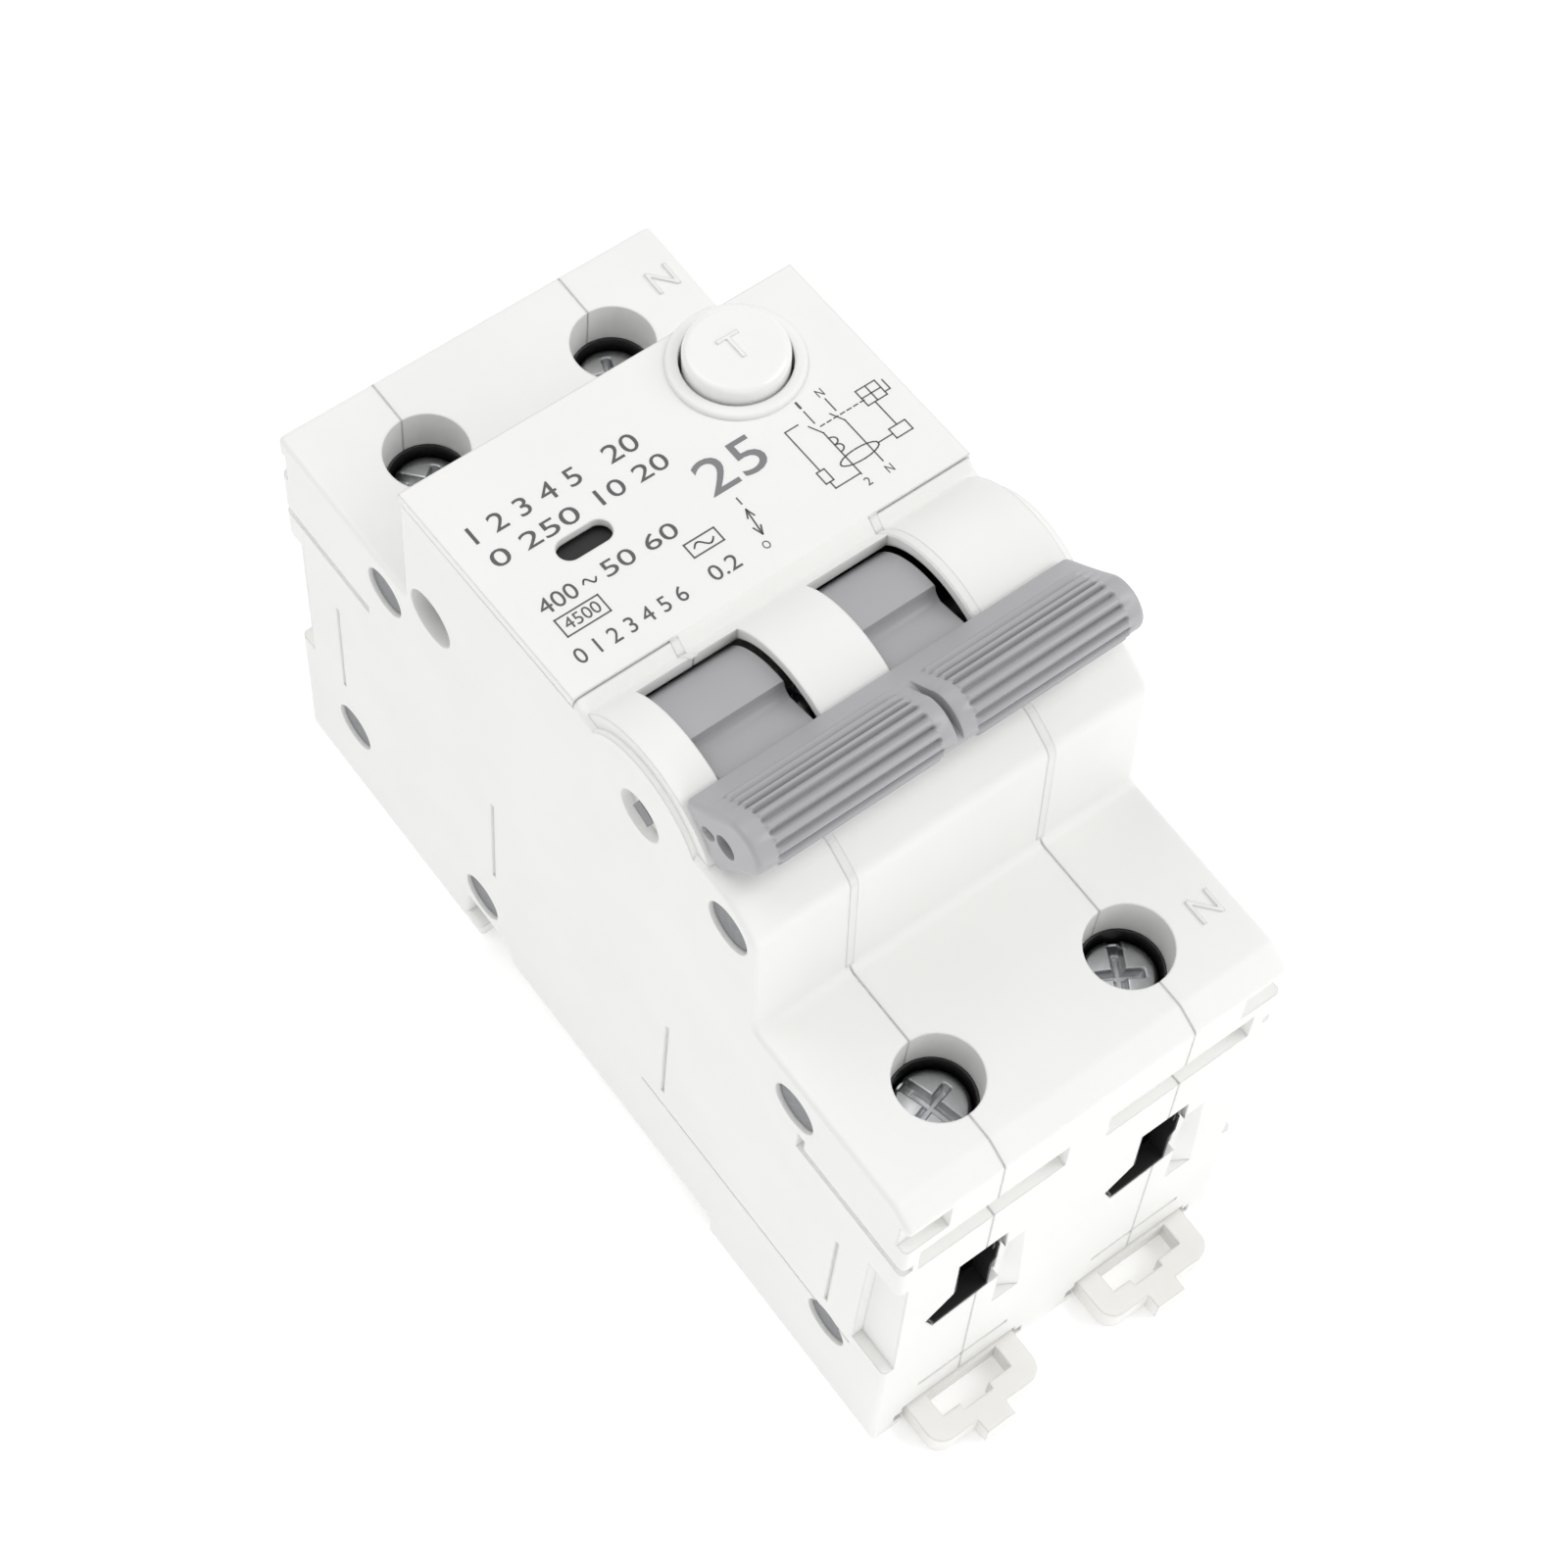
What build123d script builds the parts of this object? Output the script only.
from build123d import *
import os
from math import cos, radians, sin

os.makedirs("parts", exist_ok=True)

# Residual current device with overcurrent protection, two modules wide, for a 35 mm rail.
# It lies on its back: +Z runs from the rail to the front, +Y from the clip end to the far end.
# Heights below are measured from the foot plane, and y from the middle of the 45 mm nose.
# The finished pieces are saved with the origin on the rail's face.

# ---------------------------------------------------------------- driving dimensions, mm
module = 18.0  # one module of a distribution board
width = 2 * module
wall = 1.6  # outer walls of the three shells
plate = 1.5  # side plates of the two covers
web = 1.2  # partition between the two poles
edge_round = 0.5  # rounding of the outer side edges
seam = 0.12  # open joint between two shells
seam_shift = 0.2  # both seams lie this far left of their module's middle
gap = 0.3  # room between two pieces that move past each other
fit = 0.05  # radial running clearance of a shaft

near_foot_y = -42.6  # near end at the foot
near_top_y = -41.0  # near end at the shoulder
near_bevel_y = -38.9
far_foot_y = 39.6
far_top_y = 40.1
shoulder_z = 46.2
shoulder_bevel = 1.2
nose_half = 22.35  # half of the 45 mm nose, less its board clearance

rail_plane_z = 2.7  # the rail's face
rail_near_y = -19.9  # step beside the rail at the clip end
rail_width = 35.0
rail_flange = 1.0
hook_reach = 2.0  # how far the fixed hook reaches under the rail
hook_relief_y = 8.7
hook_ceiling_z = 5.2
floor_z = 4.6

label_far_z = 61.0
label_near_z = 62.5
label_end_y = 0.4
label_plate = 1.0  # front plate that runs over both covers
deck_z = 61.05  # flat in front of the toggles
deck_end_y = -18.4
brow_y = -21.4
brow_z = 59.1

hinge_y = -7.87
hinge_z = 57.7
shroud_r = 8.1
shroud_wall = 0.9
shroud_left = -17.5
shroud_right = 17.0
rim_r = 6.9  # lower rim beside the shroud
axle_r = 1.25
axle_square = 1.9
window_left = (-14.2, -5.3)
window_right = (0.9, 8.3)
window_far_y = -2.0

drum_margin = 0.3  # a drum is this much narrower than its window, each side
lever_angle = 46.0  # from +Z towards -Y, with the device off
lever_thick = 2.6
lever_reach = 13.4
handle_left = -17.3
handle_right = 16.8
grip_tip_r = 3.2
grip_tip_reach = 13.4
rib_r = 0.42
rib_count = 10
pin_r = 0.9

terminal_near_y = -33.0
terminal_far_y = 32.2
screw_hole_r = 3.5
screw_tube_r = 4.5
screw_head_r = 3.0
screw_r = 2.0
screw_head_z = shoulder_z - 7.7
screw_head_h = 2.8
cage_half = 5.4
cage_wall = 1.2
cage_inner = 3.0  # a cage's reach from its screw towards the middle
cage_outer = 5.4  # and towards the wire entry
cage_bottom_z = shoulder_z - 29.7
cage_height = 17.0
conductor_half = 3.0
conductor_z = shoulder_z - 17.2
conductor_thick = 1.2

rivet_points = [
    (25.3, shoulder_z - 3.6),
    (32.0, 10.2),
    (12.9, 8.7),
    (-18.4, 57.2),
    (-27.7, shoulder_z - 4.0),
    (-35.0, 11.8),
]
rivet_r = 1.4
rivet_head_r = 2.0
rivet_head_h = 0.6
recess_r = 2.25
recess_depth = 0.9
post_r = 2.6
port_y = 18.8  # round port in the side plate
port_z = 47.8
port_r = 2.6

button_x = 9.1
button_y = 17.3
button_r = 4.15
button_ring_r = 5.4
button_ring_h = 0.45
button_proud = 1.8
button_cap_h = 5.4
button_travel = 1.5
button_well = button_cap_h - button_proud + button_travel + gap
button_stem_r = 1.5

slot_x = -9.4
slot_y = 11.0
slot_length = 4.7
slot_width = 2.1

clip_x = (-9.1, 9.1)
clip_half = 5.6
clip_rib = 0.8
clip_low = 0.25
clip_high = 2.7
clip_outer_y = -46.9
clip_tab_y = -48.2
clip_nose = 2.0

contact_y = -7.0
contact_z = 38.0
contact_pin_r = 1.5
contact_tip_z = 24.5
contact_pad_r = 1.4
contact_pad_h = 0.8
moving_tip_y = -9.6

pin_reach = 12.0
grip_middle = 0.4
flange_w = 1.3
crank_reach = 4.5
crank_r = 0.7
link_length = 8.0

coil_z = 22.6
coil_near_y = 4.0
coil_far_y = 16.0
plunger_r = 1.9
trip_y = 1.5
trip_z = 33.5
trip_pin_r = 1.2
ring_r = 7.2
ring_hole_r = 3.8
ring_y = 6.0
ring_w = 7.0
relay_z = 31.0
relay_top_z = 44.0
spring_seat_z = 53.6
stem_depth = 12.95
collar_depth = 9.4  # the stem's collar stops the button under its spring seat
spring_wire_r = 0.25
flag_thick = 0.8
flag_half = 4.0
flag_near = 4.6  # the flag's reach from the slot's middle towards the toggles
flag_far = 3.6  # and away from them
flag_travel = 2.5
far_tab_y = 20.5

# ---------------------------------------------------------------- worked out from them
half = width / 2
seam_left = -module / 2 - seam_shift
seam_right = module / 2 - seam_shift
inner_left = -half + plate
inner_right = half - plate
rail_far_y = rail_near_y + rail_width + gap
hook_tip_y = rail_far_y - hook_reach
lip_z = rail_plane_z - rail_flange - gap
drum_r = shroud_r - shroud_wall - gap
label_slope = (label_near_z - label_far_z) / (nose_half - label_end_y)
terminals = [
    ("near_left", seam_left, terminal_near_y, -1),
    ("near_right", seam_right, terminal_near_y, -1),
    ("far_left", seam_left, terminal_far_y, 1),
    ("far_right", seam_right, terminal_far_y, 1),
]
poles = [("left", seam_left, -1), ("right", seam_right, 1)]
crank_y = hinge_y - crank_reach * sin(radians(lever_angle + 180))
crank_z = hinge_z + crank_reach * cos(radians(lever_angle + 180))
fixed_tab_y = -14.6
flag_cover = label_plate - 0.2  # skin left over the indicator's pocket

# Outline of the whole body, seen from the side: (Y, Z) corners from the near foot.
outline = [
    (near_foot_y, 0),
    (rail_near_y, 0),
    (rail_near_y, rail_plane_z),
    (hook_relief_y, rail_plane_z),
    (hook_relief_y + 0.8, hook_ceiling_z),
    (rail_far_y, hook_ceiling_z),
    (rail_far_y, lip_z),
    (hook_tip_y, lip_z),
    (hook_tip_y, 0),
    (far_foot_y, 0),
    (far_top_y, shoulder_z),
    (nose_half, shoulder_z),
    (nose_half, label_far_z),
    (label_end_y, label_near_z),
    (label_end_y - 1.0, label_near_z - 0.9),
    (hinge_y, deck_z),
    (deck_end_y, deck_z),
    (brow_y, brow_z),
    (-nose_half, shoulder_z),
    (near_bevel_y, shoulder_z),
    (near_top_y, shoulder_z - shoulder_bevel),
]

# Corners of the outline that are rounded: y, z and radius.
soft_corners = [
    (deck_end_y, deck_z, 2.5),
    (brow_y, brow_z, 1.6),
    (-nose_half, shoulder_z, 0.8),
    (near_bevel_y, shoulder_z, 1.2),
    (near_top_y, shoulder_z - shoulder_bevel, 0.6),
    (nose_half, shoulder_z, 0.5),
    (far_top_y, shoulder_z, 0.6),
]

# The hollow inside the walls, seen the same way.
hollow = [
    (near_foot_y + wall + 0.6, floor_z),
    (hook_relief_y - wall, floor_z),
    (hook_relief_y - wall, hook_ceiling_z + wall),
    (rail_far_y + wall, hook_ceiling_z + wall),
    (rail_far_y + wall, wall),
    (far_foot_y - wall, wall),
    (far_foot_y - wall, shoulder_z - wall),
    (nose_half - wall, shoulder_z - wall),
    (nose_half - wall, label_far_z - wall - label_plate),
    (label_end_y, label_near_z - wall - label_plate),
    (deck_end_y, deck_z - wall - label_plate),
    (-nose_half + wall + 0.8, brow_z - wall - label_plate),
    (-nose_half + wall, shoulder_z - wall),
    (near_top_y + wall, shoulder_z - wall),
]

# Wire entry in an end face: a cable hole with a slot for a busbar fork on its left (x, z).
entry = [(-5.2, 21.9), (-2.6, 23.9), (-2.6, 29.5), (2.1, 29.5), (2.4, 20.4), (-4.3, 19.6)]


def polar(angle, reach):
    """Point (y, z) at a reach from the toggle's axle, angle from +Z towards -Y."""
    return (hinge_y - reach * sin(radians(angle)), hinge_z + reach * cos(radians(angle)))


def side_slab(points, x_low, x_high, mode=Mode.ADD):
    """A slab with the given (Y, Z) outline between two X planes."""
    with BuildSketch(Plane.YZ.offset(x_low)) as side_view:
        with BuildLine():
            Polyline(*points, close=True)
        make_face()
    extrude(side_view.sketch, amount=x_high - x_low, mode=mode)


def body_slab(x_low, x_high):
    """A slice of the whole body, with the corners that the mould rounds."""
    with BuildSketch(Plane.YZ.offset(x_low)) as side_view:
        with BuildLine():
            Polyline(*outline, close=True)
        make_face()
        for y, z, radius in soft_corners:
            fillet(side_view.vertices().sort_by_distance((y, z))[0], radius)
    extrude(side_view.sketch, amount=x_high - x_low)


def block(low, high, mode=Mode.ADD):
    """A box from its low corner to its high corner."""
    middle = tuple((a + b) / 2 for a, b in zip(low, high))
    with Locations(middle):
        Box(*[b - a for a, b in zip(low, high)], mode=mode)


def rod(y, z, radius, x_low, x_high, mode=Mode.ADD):
    """A round bar along X."""
    with BuildSketch(Plane.YZ.offset(x_low)) as end_view:
        with Locations((y, z)):
            Circle(radius)
    extrude(end_view.sketch, amount=x_high - x_low, mode=mode)


def column(x, y, radius, z_low, z_high, mode=Mode.ADD):
    """A round bar along Z."""
    with BuildSketch(Plane.XY.offset(z_low)) as top_view:
        with Locations((x, y)):
            Circle(radius)
    extrude(top_view.sketch, amount=z_high - z_low, mode=mode)


def lie(x, z, radius, y_low, y_high, mode=Mode.ADD):
    """A round bar along Y."""
    with BuildSketch(Plane(origin=(x, y_low, z), x_dir=(1, 0, 0), z_dir=(0, 1, 0))) as front_view:
        Circle(radius)
    extrude(front_view.sketch, amount=y_high - y_low, mode=mode)


def shroud(x_low, x_high):
    """The round hood over the drums, with a lower rim outside its two ends."""
    rod(hinge_y, hinge_z, rim_r, x_low, x_high)
    rod(hinge_y, hinge_z, shroud_r, max(x_low, shroud_left), min(x_high, shroud_right))


def open_chamber(x_low, x_high):
    """Hollows a shell between two X planes and clears the drum's round chamber."""
    side_slab(hollow, x_low, x_high, Mode.SUBTRACT)
    rod(hinge_y, hinge_z, shroud_r - shroud_wall, x_low, x_high, Mode.SUBTRACT)


def carry_insides(x_low, x_high, side):
    """Posts for the rivets, tubes over the screws and ribs beside the terminal cages."""
    for y, z in rivet_points:
        rod(y, z, post_r, x_low, x_high)
    for name, x, y, end in terminals:
        if x * side < 0:
            continue
        inward = y - end * (cage_inner + 2.6)
        block((x_low, inward - 0.6, floor_z - 1), (x_high, inward + 0.6, shoulder_z - wall))
        outer_rib = x + side * (cage_half + gap)
        inner_rib = x - side * (cage_half + gap)
        for edge, wall_x in ((outer_rib, side * inner_right), (inner_rib, side * web / 2)):
            low, high = sorted((edge, wall_x))
            low, high = max(low, x_low), min(high, x_high)
            if high - low > 0.5:
                block((low, y - 1.5, 12.0), (high, y + 1.5, 37.0))


def screw_tubes(x_low, x_high, side):
    """Half tubes that guide the screwdriver, on the seam."""
    for name, x, y, end in terminals:
        if x * side < 0:
            continue
        with BuildSketch(Plane.XY.offset(screw_head_z - 0.7)) as top_view:
            with Locations((x, y)):
                Circle(screw_tube_r)
            with Locations(((x_low + x_high) / 2, y)):
                Rectangle(x_high - x_low, 4 * screw_tube_r, mode=Mode.INTERSECT)
        extrude(top_view.sketch, amount=shoulder_z - wall / 2 - screw_head_z + 0.7)


def cut_openings(side):
    """Screw holes, wire entries, rivet holes, clip channels and the notches at both ends."""
    for name, x, y, end in terminals:
        column(x, y, screw_hole_r, screw_head_z - 1, shoulder_z + 1, Mode.SUBTRACT)
        outside = near_foot_y - 1 if end < 0 else far_top_y + 1
        inside = near_top_y + wall + 0.4 if end < 0 else far_foot_y - wall - 0.4
        end_plane = Plane(origin=(x, max(outside, inside), 0), x_dir=(1, 0, 0), z_dir=(0, -1, 0))
        with BuildSketch(end_plane) as hole:
            with BuildLine():
                Polyline(*entry, close=True)
            make_face()
        extrude(hole.sketch, amount=abs(outside - inside), mode=Mode.SUBTRACT)
        face_y = near_foot_y + 0.5 if end < 0 else far_foot_y + 0.2
        with BuildSketch(Plane.XY.offset(14.8)) as lead_in:
            with BuildLine():
                Polyline(
                    (x + 2.2, face_y + end * 2),
                    (x + 2.2, face_y - end * 1.0),
                    (x + 3.2, face_y - end * 1.0),
                    (x + 5.6, face_y + end * 0.4),
                    (x + 5.6, face_y + end * 2),
                    close=True,
                )
            make_face()
        extrude(lead_in.sketch, amount=12.2, mode=Mode.SUBTRACT)
        slot_in = near_top_y + 0.8 if end < 0 else far_top_y - 0.9
        block_y = sorted((outside, slot_in))
        block((x - 7.2, block_y[0], 36.0), (x + 6.8, block_y[1], 39.4), Mode.SUBTRACT)
        inward = y - end * (cage_inner + 2.6)
        block(
            (x - conductor_half - gap, inward - 1, conductor_z - gap),
            (x + conductor_half + gap, inward + 1, conductor_z + conductor_thick + gap),
            Mode.SUBTRACT,
        )
    for y, z in rivet_points:
        rod(y, z, rivet_r + fit, -half - 1, half + 1, Mode.SUBTRACT)
    rod(hinge_y, hinge_z, axle_r + fit, -half - 1, half + 1, Mode.SUBTRACT)
    for x in clip_x:
        block(
            (x - clip_half - gap, near_foot_y - 1, -1),
            (x + clip_half + gap, rail_near_y + clip_nose + gap, clip_high + gap),
            Mode.SUBTRACT,
        )
        block(
            (x - clip_half - clip_rib - gap, near_foot_y - 1, 0.9),
            (x + clip_half + clip_rib + gap, rail_near_y + 1, 2.1),
            Mode.SUBTRACT,
        )
        block((x - 4.6, near_foot_y - 1, 6.2), (x + 4.6, near_foot_y + 1.0, 6.8), Mode.SUBTRACT)
    for x_low, x_high in (window_left, window_right):
        block((x_low, -15.3, deck_z + 0.1), (x_high, window_far_y, deck_z + 9), Mode.SUBTRACT)


def dress_side(side):
    """Recesses, slots and pockets in the outer face of a cover."""
    face = side * half
    low, high = sorted((face + side, face - side * recess_depth))
    for y, z in rivet_points + [(hinge_y, hinge_z)]:
        rod(y, z, recess_r, low, high, Mode.SUBTRACT)
    rod(port_y, port_z, port_r, *sorted((face + side, face - side * (plate + 0.5))), Mode.SUBTRACT)
    low, high = sorted((face + side, face - side * 0.25))
    for y in (33.1, 11.0, -12.7, -34.5):
        block((low, y - 0.18, 16.0), (high, y + 0.18, 29.0), Mode.SUBTRACT)
    block((low, -37.8, 13.5), (high, -10.0, 13.8), Mode.SUBTRACT)
    low, high = sorted((face + side, face - side * 1.0))
    block((low, near_foot_y - 1, 36.6), (high, -28.5, 37.6), Mode.SUBTRACT)
    block((low, -29.3, 36.6), (high, -28.5, 39.0), Mode.SUBTRACT)
    block((low, 28.0, 35.6), (high, far_top_y + 1, 36.6), Mode.SUBTRACT)
    block((low, near_foot_y - 1, 15.5), (high, -38.0, 32.4), Mode.SUBTRACT)
    block((low, 37.8, 15.5), (high, far_top_y + 1, 32.4), Mode.SUBTRACT)
    low, high = sorted((face + side, face - side * 4.0))
    block((low, near_foot_y - 1, 41.0), (high, near_top_y + 0.9, 44.3), Mode.SUBTRACT)
    block((low, far_top_y - 1.0, 41.0), (high, far_top_y + 1, 44.3), Mode.SUBTRACT)


def label_plane(x, y, lift=0.0):
    """A plane on the label face at (x, y), lifted along the face's normal."""
    z = label_near_z - (y - label_end_y) * label_slope
    normal = Vector(0, label_slope, 1).normalized()
    origin = Vector(x, y, z) + normal * lift
    return Plane(origin=origin, x_dir=(1, 0, 0), z_dir=normal)


def label_disc(x, y, radius, low, high, mode=Mode.ADD):
    """A round bar square to the label face, between two heights over it."""
    with BuildSketch(label_plane(x, y, low)) as disc:
        Circle(radius)
    extrude(disc.sketch, amount=high - low, mode=mode)


def label_box(x_reach, y_reach, low, high, mode=Mode.ADD):
    """A box under the slot, square to the label face, with its own reach in x and along the slope."""
    x_low, x_high = x_reach
    y_low, y_high = y_reach
    with BuildSketch(label_plane((x_low + x_high) / 2, slot_y + (y_low + y_high) / 2, low)) as plan:
        Rectangle(x_high - x_low, y_high - y_low)
    extrude(plan.sketch, amount=high - low, mode=mode)


def label_cuts():
    """The button's well, the slot and the pocket where the indicator slides."""
    label_disc(button_x, button_y, button_r + 0.25, -button_well, 2, Mode.SUBTRACT)
    with BuildSketch(label_plane(slot_x, slot_y, -4)) as slot:
        SlotOverall(slot_length, slot_width)
    extrude(slot.sketch, amount=6, mode=Mode.SUBTRACT)
    pocket_x = (slot_x - flag_half - gap, slot_x + flag_half + gap)
    pocket_y = (-flag_near - gap, flag_far + flag_travel + gap)
    label_box(pocket_x, pocket_y, -label_plate - wall - 1, -flag_cover, Mode.SUBTRACT)


def along(angle, reach, offset):
    """Point (y, z) at a reach along a direction from the axle, moved sideways by an offset."""
    y, z = polar(angle, reach)
    return (y - offset * cos(radians(angle)), z - offset * sin(radians(angle)))


def coil_spring(foot, direction, radius, wire_r, pitch, length):
    """A helical spring that stands on a foot point, round a direction."""
    with BuildLine() as path:
        Helix(pitch=pitch, height=length, radius=radius, center=foot, direction=direction)
    start = path.line.edges()[0]
    with BuildSketch(Plane(origin=start @ 0, z_dir=start % 0)) as section:
        Circle(wire_r)
    sweep(section.sketch, path=path.line, is_frenet=True)


def save(piece, label):
    """Brings a finished piece to the rail's face, labels it and writes its STEP file."""
    piece.part.move(Location((0, 0, -rail_plane_z)))
    piece.part.label = label
    export_step(piece.part, f"parts/{label}.step")


label_slab = [
    (label_end_y, label_near_z),
    (label_end_y, label_near_z - label_plate),
    (nose_half, label_far_z - label_plate),
    (nose_half, label_far_z),
]
label_room = [
    (label_end_y - seam, label_near_z + 1),
    (label_end_y - seam, label_near_z - label_plate - seam),
    (nose_half + 1, label_far_z - label_plate - seam),
    (nose_half + 1, label_far_z + 1),
]

# ---------------------------------------------------------------- side covers
for side, x_low, x_high in ((-1, -half, seam_left - seam / 2), (1, seam_right + seam / 2, half)):
    with BuildPart() as cover:
        body_slab(x_low, x_high)
        fillet(cover.faces().sort_by(Axis.X)[-1 if side > 0 else 0].edges(), edge_round)
        side_slab(label_room, x_low - 1, x_high + 1, Mode.SUBTRACT)
        shroud(x_low, x_high)
        cavity_low = inner_left if side < 0 else x_low - 1
        cavity_high = x_high + 1 if side < 0 else inner_right
        open_chamber(cavity_low, cavity_high)
        room_low, room_high = (inner_left, x_high) if side < 0 else (x_low, inner_right)
        carry_insides(room_low, room_high, side)
        screw_tubes(room_low, room_high, side)
        cut_openings(side)
        label_cuts()
        dress_side(side)
    save(cover, "left_cover" if side < 0 else "right_cover")

# ---------------------------------------------------------------- centre housing
with BuildPart() as centre_housing:
    x_low = seam_left + seam / 2
    x_high = seam_right - seam / 2
    body_slab(x_low, x_high)
    shroud(x_low, x_high)
    open_chamber(x_low - 1, -web / 2)
    open_chamber(web / 2, x_high + 1)
    side_slab(label_slab, -half, half)
    carry_insides(x_low, -web / 2, -1)
    carry_insides(web / 2, x_high, 1)
    screw_tubes(x_low, -web / 2, -1)
    screw_tubes(web / 2, x_high, 1)
    rod(contact_y, contact_z, contact_pin_r, seam_left - 2.8, seam_right + 2.8)
    rod(trip_y, trip_z, trip_pin_r, seam_left - 2.8, -web / 2)
    block((web / 2, button_y - 5, spring_seat_z - 1.2), (button_x + 4.5, button_y + 3, spring_seat_z))
    label_disc(button_x, button_y, button_stem_r + gap, -10, -6, Mode.SUBTRACT)
    label_disc(button_x, button_y, button_ring_r, -0.5, button_ring_h)
    cut_openings(0)
    label_cuts()
    shelf_top = -flag_cover - flag_thick - 2 * gap
    shelf_y = (-flag_near, flag_far + flag_travel)
    label_box((seam_left + seam, -web / 2), shelf_y, shelf_top - 1.2, shelf_top)
    ring_edge = centre_housing.edges().filter_by(GeomType.CIRCLE).filter_by(
        lambda edge: abs(edge.radius - button_ring_r) < 0.01
    )
    fillet(ring_edge.sort_by(Axis.Z)[-1], 0.3)
save(centre_housing, "centre_housing")

# ---------------------------------------------------------------- rivets and toggle axle
with BuildPart() as housing_rivets:
    floor_x = half - recess_depth
    for y, z in rivet_points:
        rod(y, z, rivet_r, -floor_x, floor_x)
        rod(y, z, rivet_head_r, -floor_x - rivet_head_h, -floor_x)
        rod(y, z, rivet_head_r, floor_x, floor_x + rivet_head_h)
save(housing_rivets, "housing_rivets")

with BuildPart() as toggle_axle:
    rod(hinge_y, hinge_z, axle_r, -floor_x, floor_x)
    for x_low in (-floor_x - rivet_head_h, floor_x):
        with BuildSketch(Plane.YZ.offset(x_low)):
            with Locations((hinge_y, hinge_z)):
                Rectangle(axle_square, axle_square, rotation=20)
        extrude(amount=rivet_head_h)
save(toggle_axle, "toggle_axle")

# ---------------------------------------------------------------- toggle: drums, handle, pin
for name, window in (("left", window_left), ("right", window_right)):
    x_low = window[0] + drum_margin
    x_high = window[1] - drum_margin
    with BuildPart() as drum:
        rod(hinge_y, hinge_z, drum_r, x_low, x_high)
        step = [
            polar(-4, drum_r + 1),
            polar(-4, drum_r - 1.3),
            polar(16, drum_r - 0.9),
            polar(16, drum_r + 1),
        ]
        side_slab(step, x_low - 1, x_high + 1, Mode.SUBTRACT)
        arm = [along(lever_angle, reach, side * lever_thick / 2)
               for reach, side in ((drum_r - 2, -1), (lever_reach, -1), (lever_reach, 1), (drum_r - 2, 1))]
        side_slab(arm, x_low + 0.8, x_high - 0.8)
        rod(hinge_y, hinge_z, axle_r + fit, x_low - 1, x_high + 1, Mode.SUBTRACT)
        pin_y, pin_z = polar(lever_angle, pin_reach)
        rod(pin_y, pin_z, pin_r + fit, x_low - 1, x_high + 1, Mode.SUBTRACT)
        rod(crank_y, crank_z, crank_r + fit, x_high - 2.0, x_high + 1, Mode.SUBTRACT)
    save(drum, f"toggle_drum_{name}")

    with BuildPart() as drive_link:
        with BuildSketch(Plane.YZ.offset(x_high + gap)):
            with BuildLine():
                Polyline(
                    (crank_y - 1.1, crank_z),
                    (crank_y - 1.1, crank_z - link_length),
                    (crank_y + 1.1, crank_z - link_length),
                    (crank_y + 1.1, crank_z),
                    close=True,
                )
            make_face()
            with Locations((crank_y, crank_z), (crank_y, crank_z - link_length)):
                Circle(1.1)
            with Locations((crank_y, crank_z - link_length)):
                Circle(0.5, mode=Mode.SUBTRACT)
        extrude(amount=0.8)
        rod(crank_y, crank_z, crank_r, x_high - 1.8, x_high + gap)
    save(drive_link, f"drive_link_{name}")

handle_grips = ((handle_left, grip_middle - 0.9), (grip_middle + 0.9, handle_right))
with BuildPart() as tie_handle:
    tip_y, tip_z = polar(lever_angle - 1, grip_tip_reach)
    with BuildSketch(Plane.YZ.offset(handle_left)):
        with Locations((tip_y, tip_z)):
            Circle(grip_tip_r)
        with Locations(polar(32, shroud_r + 0.9), polar(61, shroud_r + 0.9)):
            Circle(0.5)
        make_hull()
        with Locations((hinge_y, hinge_z)):
            Circle(shroud_r + 0.4, mode=Mode.SUBTRACT)
    extrude(amount=handle_right - handle_left)
    for grip_low, grip_high in handle_grips:
        for x_low in (grip_low, grip_high - flange_w):
            rod(tip_y, tip_z, grip_tip_r + rib_r, x_low, x_low + flange_w)
        for index in range(rib_count):
            turn = 45 - 112 + index * 205 / (rib_count - 1)
            y = tip_y - grip_tip_r * sin(radians(turn))
            z = tip_z + grip_tip_r * cos(radians(turn))
            rod(y, z, rib_r, grip_low + flange_w / 2, grip_high - flange_w / 2)
    slit_corners = ((11.0, -6), (20, -6), (20, 6), (11.0, 6))
    slit = [along(lever_angle, reach, offset) for reach, offset in slit_corners]
    side_slab(slit, grip_middle - 0.3, grip_middle + 0.3, Mode.SUBTRACT)
    for window in (window_left, window_right):
        arm = [along(lever_angle, reach, side * (lever_thick / 2 + 0.1))
               for reach, side in ((6, -1), (lever_reach + 0.1, -1), (lever_reach + 0.1, 1), (6, 1))]
        x_low = window[0] + drum_margin + 0.7
        x_high = window[1] - drum_margin - 0.7
        side_slab(arm, x_low, x_high, Mode.SUBTRACT)
    rod(pin_y, pin_z, pin_r + fit, handle_left - 1, handle_right + 1, Mode.SUBTRACT)
save(tie_handle, "tie_handle")

with BuildPart() as handle_pin:
    rod(pin_y, pin_z, pin_r, handle_left + 0.8, handle_right - 0.8)
save(handle_pin, "handle_pin")

with BuildPart() as toggle_spring:
    foot_x = window_left[1] - drum_margin + gap + 0.8 + gap + spring_wire_r
    coil_r = axle_r + gap + spring_wire_r
    coil_spring((foot_x, hinge_y, hinge_z), (1, 0, 0), coil_r, spring_wire_r, 0.72, 2.5)
save(toggle_spring, "toggle_spring")

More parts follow.
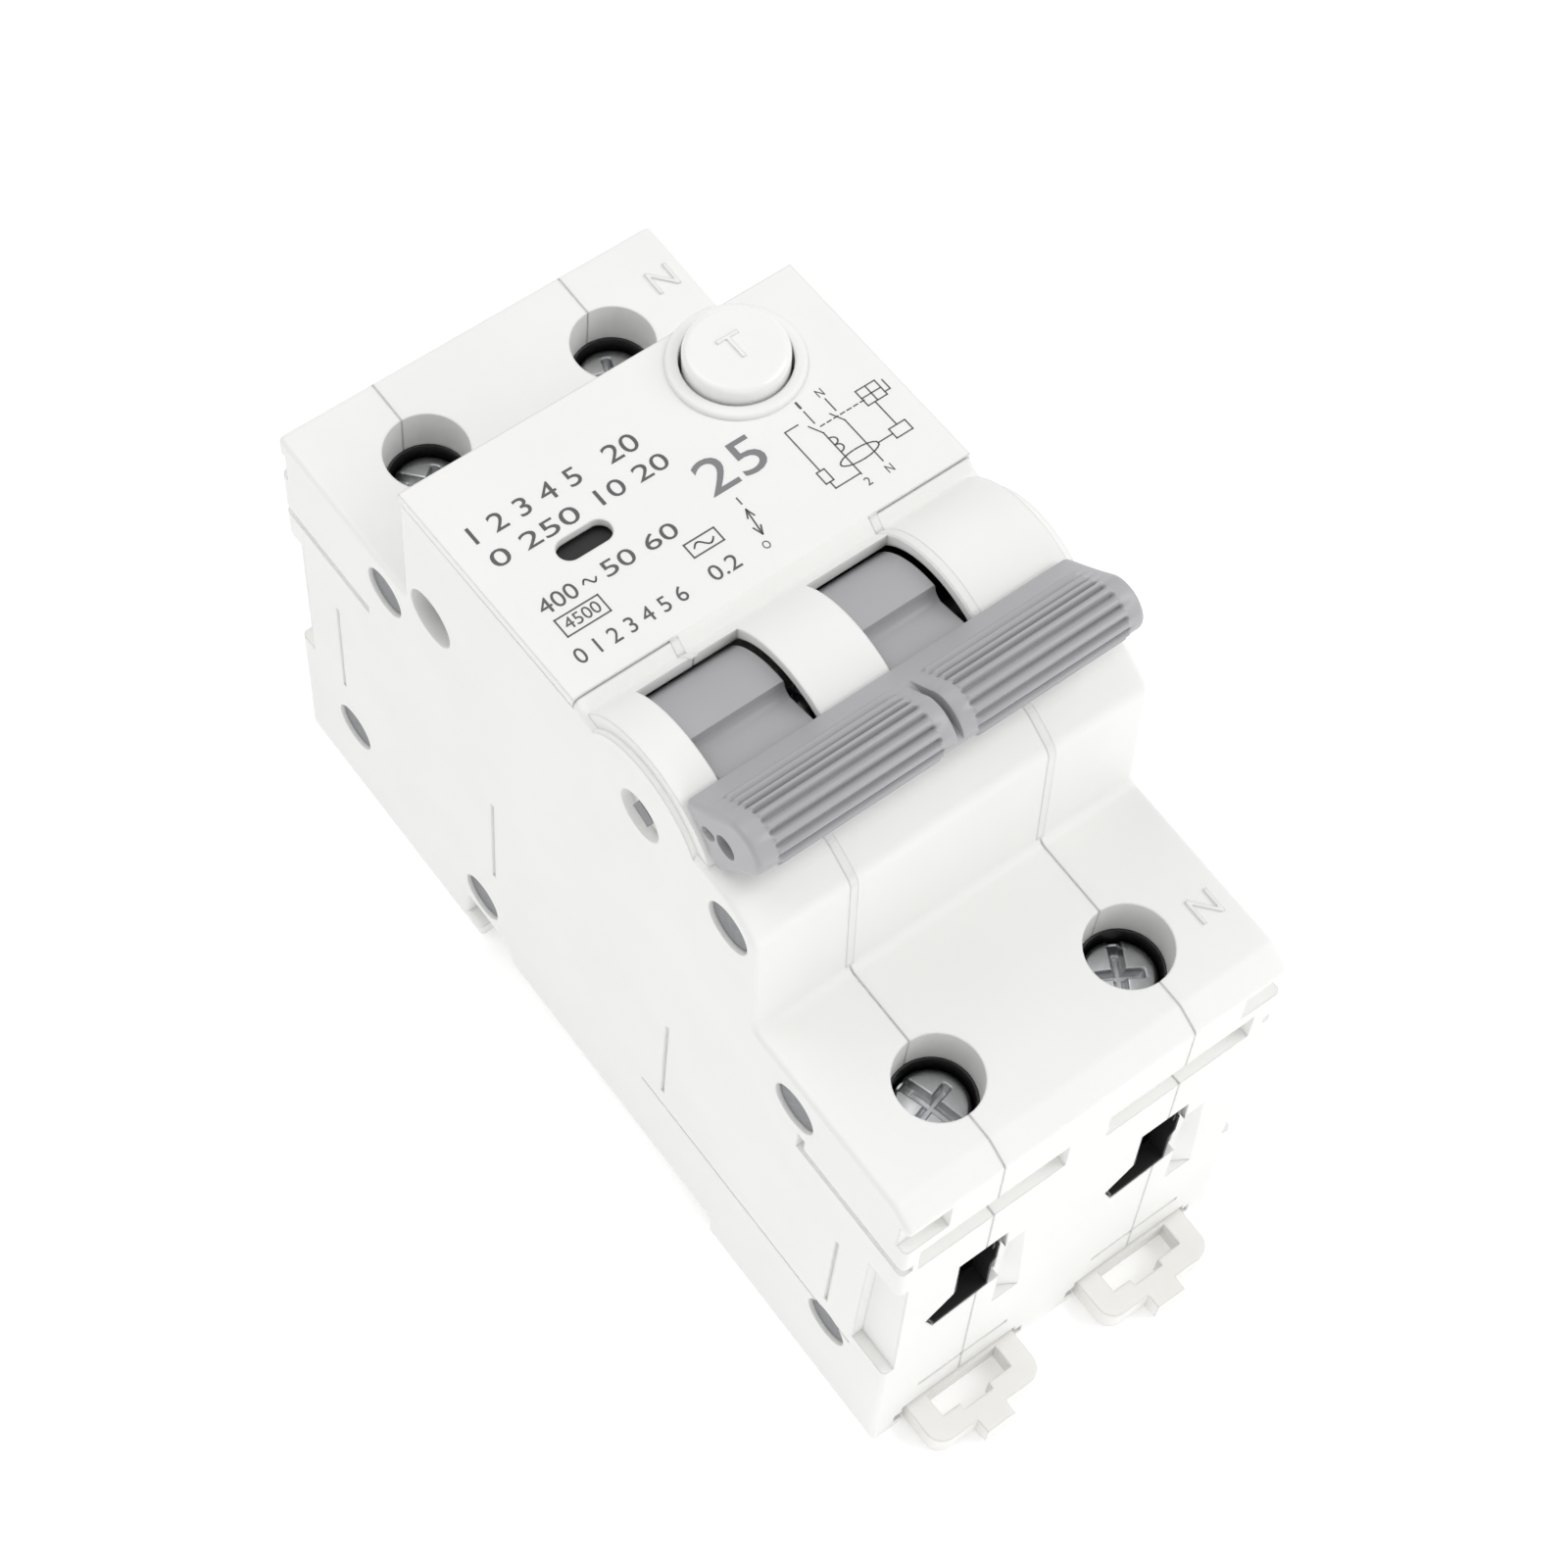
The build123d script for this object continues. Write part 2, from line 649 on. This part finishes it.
# ---------------------------------------------------------------- terminals
for name, x, y, end in terminals:
    with BuildPart() as cage:
        top_z = cage_bottom_z + cage_height
        low_y, high_y = sorted((y - end * cage_inner, y + end * cage_outer))
        block((x - cage_half, low_y, cage_bottom_z), (x + cage_half, high_y, top_z))
        block(
            (x - cage_half + cage_wall, low_y - 1, cage_bottom_z + 1.5),
            (x + cage_half - cage_wall, high_y + 1, top_z - 2.0),
            Mode.SUBTRACT,
        )
        column(x, y, screw_r + fit, top_z - 3, top_z + 1, Mode.SUBTRACT)
    save(cage, f"terminal_cage_{name}")

    with BuildPart() as screw:
        column(x, y, screw_r, conductor_z + conductor_thick + gap, screw_head_z)
        column(x, y, screw_head_r, screw_head_z, screw_head_z + screw_head_h)
        chamfer(screw.faces().sort_by(Axis.Z)[-1].edges(), 0.3)
        head_top = screw_head_z + screw_head_h
        block((x - 3.5, y - 0.45, head_top - 1.3), (x + 3.5, y + 0.45, head_top + 1), Mode.SUBTRACT)
        block((x - 0.45, y - 1.9, head_top - 1.6), (x + 0.45, y + 1.9, head_top + 1), Mode.SUBTRACT)
    save(screw, f"terminal_screw_{name}")

    pole = name.split("_")[1]
    outer_y = y + end * (cage_outer - 0.1)
    with BuildPart() as conductor:
        inner_y = fixed_tab_y if end < 0 else far_tab_y
        low_y, high_y = sorted((inner_y, outer_y))
        top = conductor_z + conductor_thick
        block((x - conductor_half, low_y, conductor_z), (x + conductor_half, high_y, top))
        if end < 0:
            block((x - 2.2, inner_y - 1.2, contact_tip_z - 3.5), (x + 2.2, inner_y, top))
            lie(x, contact_tip_z, contact_pad_r, inner_y, inner_y + contact_pad_h)
        else:
            tab_z = conductor_z - (3.0 if x < 0 else 9.0)
            block((x - conductor_half, inner_y, tab_z), (x + conductor_half, inner_y + 1.0, top))
    save(conductor, f"{'near' if end < 0 else 'far'}_conductor_{pole}")

# ---------------------------------------------------------------- moving contacts
for name, x, side in poles:
    with BuildPart() as moving_contact:
        arm = [
            (moving_tip_y, contact_tip_z - 2.0),
            (moving_tip_y + 2.0, contact_tip_z - 2.0),
            (contact_y + 1.6, contact_z - 2.0),
            (contact_y + 2.6, contact_z + 5.9),
            (contact_y + 0.6, contact_z + 5.9),
            (contact_y - 2.4, contact_z),
        ]
        side_slab(arm, x - 1.5, x + 1.5)
        rod(contact_y, contact_z, contact_pin_r + 1.7, x - 1.5, x + 1.5)
        lie(x, contact_tip_z, contact_pad_r, moving_tip_y - contact_pad_h, moving_tip_y + 0.5)
        rod(contact_y, contact_z, contact_pin_r + fit, x - 3, x + 3, Mode.SUBTRACT)
    save(moving_contact, f"moving_contact_{name}")

# ---------------------------------------------------------------- arc chute, left pole
with BuildPart() as arc_plates:
    for index in range(6):
        z = 7.2 + index * 2.0
        block((inner_left + 2.0, -25.8, z), (-web / 2 - 0.9, -12.5, z + 0.9))
save(arc_plates, "arc_plates")

with BuildPart() as arc_chute_sides:
    block((inner_left + 1.1, -26.3, 6.6), (inner_left + 2.0, -12.2, 18.8))
    block((-web / 2 - 0.9, -26.3, 6.6), (-web / 2, -12.2, 18.8))
save(arc_chute_sides, "arc_chute_sides")

# ---------------------------------------------------------------- magnetic trip, left pole
with BuildPart() as coil_yoke:
    block((inner_left + 2.3, coil_near_y - 1.4, coil_z - 6.7), (-web / 2, coil_far_y + 1.4, coil_z + 3.9))
    block((inner_left, coil_near_y - 0.2, coil_z - 5.5), (1, coil_far_y + 0.2, coil_z + 9), Mode.SUBTRACT)
    lie(seam_left, coil_z, plunger_r + 0.4, coil_near_y - 3, coil_near_y + 1, Mode.SUBTRACT)
save(coil_yoke, "coil_yoke")

with BuildPart() as coil_bobbin:
    lie(seam_left, coil_z, 3.0, coil_near_y, coil_far_y)
    lie(seam_left, coil_z, plunger_r + fit, coil_near_y - 1, coil_far_y - 1, Mode.SUBTRACT)
save(coil_bobbin, "coil_bobbin")

with BuildPart() as coil_winding:
    turns = 7
    wire_r = (coil_far_y - coil_near_y - 0.8) / turns / 2
    with BuildSketch(Plane.YZ.offset(seam_left)):
        with Locations((coil_near_y + 0.4 + turns * wire_r, coil_z + 3.1 + wire_r / 2)):
            Rectangle(turns * 2 * wire_r, wire_r)
        for index in range(turns):
            with Locations((coil_near_y + 0.4 + (2 * index + 1) * wire_r, coil_z + 3.1 + wire_r)):
                Circle(wire_r * 0.98)
        with Locations((coil_near_y, coil_z)):
            Rectangle(60, 6.2, mode=Mode.SUBTRACT)
    revolve(axis=Axis((seam_left, 0, coil_z), (0, 1, 0)))
    lie(seam_left, coil_z + 4.5, 0.5, coil_far_y - 1.5, far_tab_y)
save(coil_winding, "coil_winding")

with BuildPart() as coil_plunger:
    lie(seam_left, coil_z, plunger_r, coil_near_y - 1.9, coil_far_y - 3.0)
save(coil_plunger, "coil_plunger")

with BuildPart() as bimetal_strip:
    block((seam_left - 2, far_tab_y + 2.0, 12.5), (seam_left + 2, far_tab_y + 2.8, conductor_z))
save(bimetal_strip, "bimetal_strip")

with BuildPart() as trip_lever:
    paddle_y = coil_near_y - 1.9 - gap - 0.1
    lever = [
        (paddle_y - 1.4, coil_z - 2.4),
        (paddle_y, coil_z - 2.4),
        (paddle_y, coil_z + 4.0),
        (trip_y + 1.4, trip_z),
        (trip_y - 0.2, trip_z + 12.5),
        (trip_y - 1.8, trip_z + 12.5),
        (trip_y - 1.8, trip_z),
    ]
    side_slab(lever, seam_left - 1.5, seam_left + 1.5)
    rod(trip_y, trip_z, trip_pin_r + 1.3, seam_left - 1.5, seam_left + 1.5)
    rod(trip_y, trip_z, trip_pin_r + fit, seam_left - 3, seam_left + 3, Mode.SUBTRACT)
save(trip_lever, "trip_lever")

# ---------------------------------------------------------------- residual current trip, right pole
ring_x = inner_right - gap - ring_r
with BuildPart() as current_transformer:
    lie(ring_x, coil_z, ring_r, ring_y, ring_y + ring_w)
    lie(ring_x, coil_z, ring_hole_r, ring_y - 1, ring_y + ring_w + 1, Mode.SUBTRACT)
    fillet(current_transformer.edges().filter_by(GeomType.CIRCLE), 0.8)
save(current_transformer, "current_transformer")

with BuildPart() as primary_conductors:
    for x in (ring_x - 1.8, ring_x + 1.8):
        lie(x, coil_z, 1.3, 2.0, far_tab_y)
save(primary_conductors, "primary_conductors")

with BuildPart() as trip_relay:
    block((web / 2, 3.5, relay_z), (web / 2 + 10.9, 18.5, relay_top_z))
    chamfer(trip_relay.edges().filter_by(Axis.Y), 0.5)
save(trip_relay, "trip_relay")

board_x = inner_right - gap - 1.2
with BuildPart() as circuit_board:
    block((board_x, -2.5, relay_z + 0.5), (board_x + 1.2, nose_half - wall - gap, 56.0))
save(circuit_board, "circuit_board")

with BuildPart() as board_components:
    rod(3.0, 50.0, 2.2, board_x - 4.0, board_x)
    block((board_x - 1.2, 9.5, 50.5), (board_x, 14.5, 54.0))
    block((board_x - 1.0, 9.5, 36.0), (board_x, 16.0, 42.0))
    for y in (8.5, 11.5, 14.5):
        lie(board_x - 0.8, 46.0, 0.8, y - 1.0, y + 1.0)
save(board_components, "board_components")

# ---------------------------------------------------------------- test button
with BuildPart() as test_button:
    label_disc(button_x, button_y, button_r, button_proud - button_cap_h, button_proud)
    fillet(test_button.faces().sort_by(Axis.Z)[-1].edges(), 0.6)
    label_disc(button_x, button_y, button_stem_r, -stem_depth, button_proud - button_cap_h)
    label_disc(button_x, button_y, button_stem_r + 0.7, -collar_depth - 0.6, -collar_depth)
save(test_button, "test_button")

with BuildPart() as test_spring:
    seat = label_plane(button_x, button_y, -7.35)
    coil_spring(seat.origin, seat.z_dir, 2.3, spring_wire_r, 1.1, 3.2)
save(test_spring, "test_spring")

with BuildPart() as test_contact:
    block((button_x - 1.6, 5.0, relay_top_z), (button_x + 1.6, 8.0, relay_top_z + 2.2))
    block((button_x - 1.6, 5.0, relay_top_z + 2.2), (button_x + 1.6, 19.5, relay_top_z + 2.6))
save(test_contact, "test_contact")

with BuildPart() as test_resistor:
    lie(4.2, relay_top_z + 1.3, 1.3, 8.0, 16.0)
save(test_resistor, "test_resistor")

# ---------------------------------------------------------------- indicator behind the slot
with BuildPart() as indicator_flag:
    flag_top = -flag_cover - gap
    flag_x = (slot_x - flag_half, slot_x + flag_half)
    label_box(flag_x, (-flag_near, flag_far), flag_top - flag_thick, flag_top)
save(indicator_flag, "indicator_flag")

# ---------------------------------------------------------------- rail clips
for name, x in zip(("left", "right"), clip_x):
    with BuildPart() as clip:
        tail_y = near_foot_y
        with BuildSketch(Plane.XY.offset(clip_low)):
            with Locations((x, (clip_outer_y + rail_near_y) / 2)):
                RectangleRounded(2 * clip_half, rail_near_y - clip_outer_y, 1.6)
            with Locations((x, (clip_tab_y + clip_outer_y) / 2 + 0.5)):
                Rectangle(2.9, clip_outer_y - clip_tab_y + 1.0)
        extrude(amount=clip_high - clip_low)
        rib_x = clip_half + clip_rib
        block((x - rib_x, tail_y + 4.8, 1.2), (x + rib_x, rail_near_y - 4, 1.8))
        block((x - 3.6, tail_y - 2.3, -1), (x + 3.6, tail_y - 0.2, 4), Mode.SUBTRACT)
        block((x - 1.8, tail_y - 2.9, -1), (x + 1.2, tail_y - 2.0, 4), Mode.SUBTRACT)
        nose = [
            (rail_near_y - 0.8, clip_low),
            (rail_near_y + clip_nose - 0.9, clip_low),
            (rail_near_y + clip_nose, clip_low + 0.7),
            (rail_near_y + clip_nose, lip_z),
            (rail_near_y - 0.8, lip_z),
        ]
        side_slab(nose, x - clip_half + 1, x + clip_half - 1)
    save(clip, f"rail_clip_{name}")
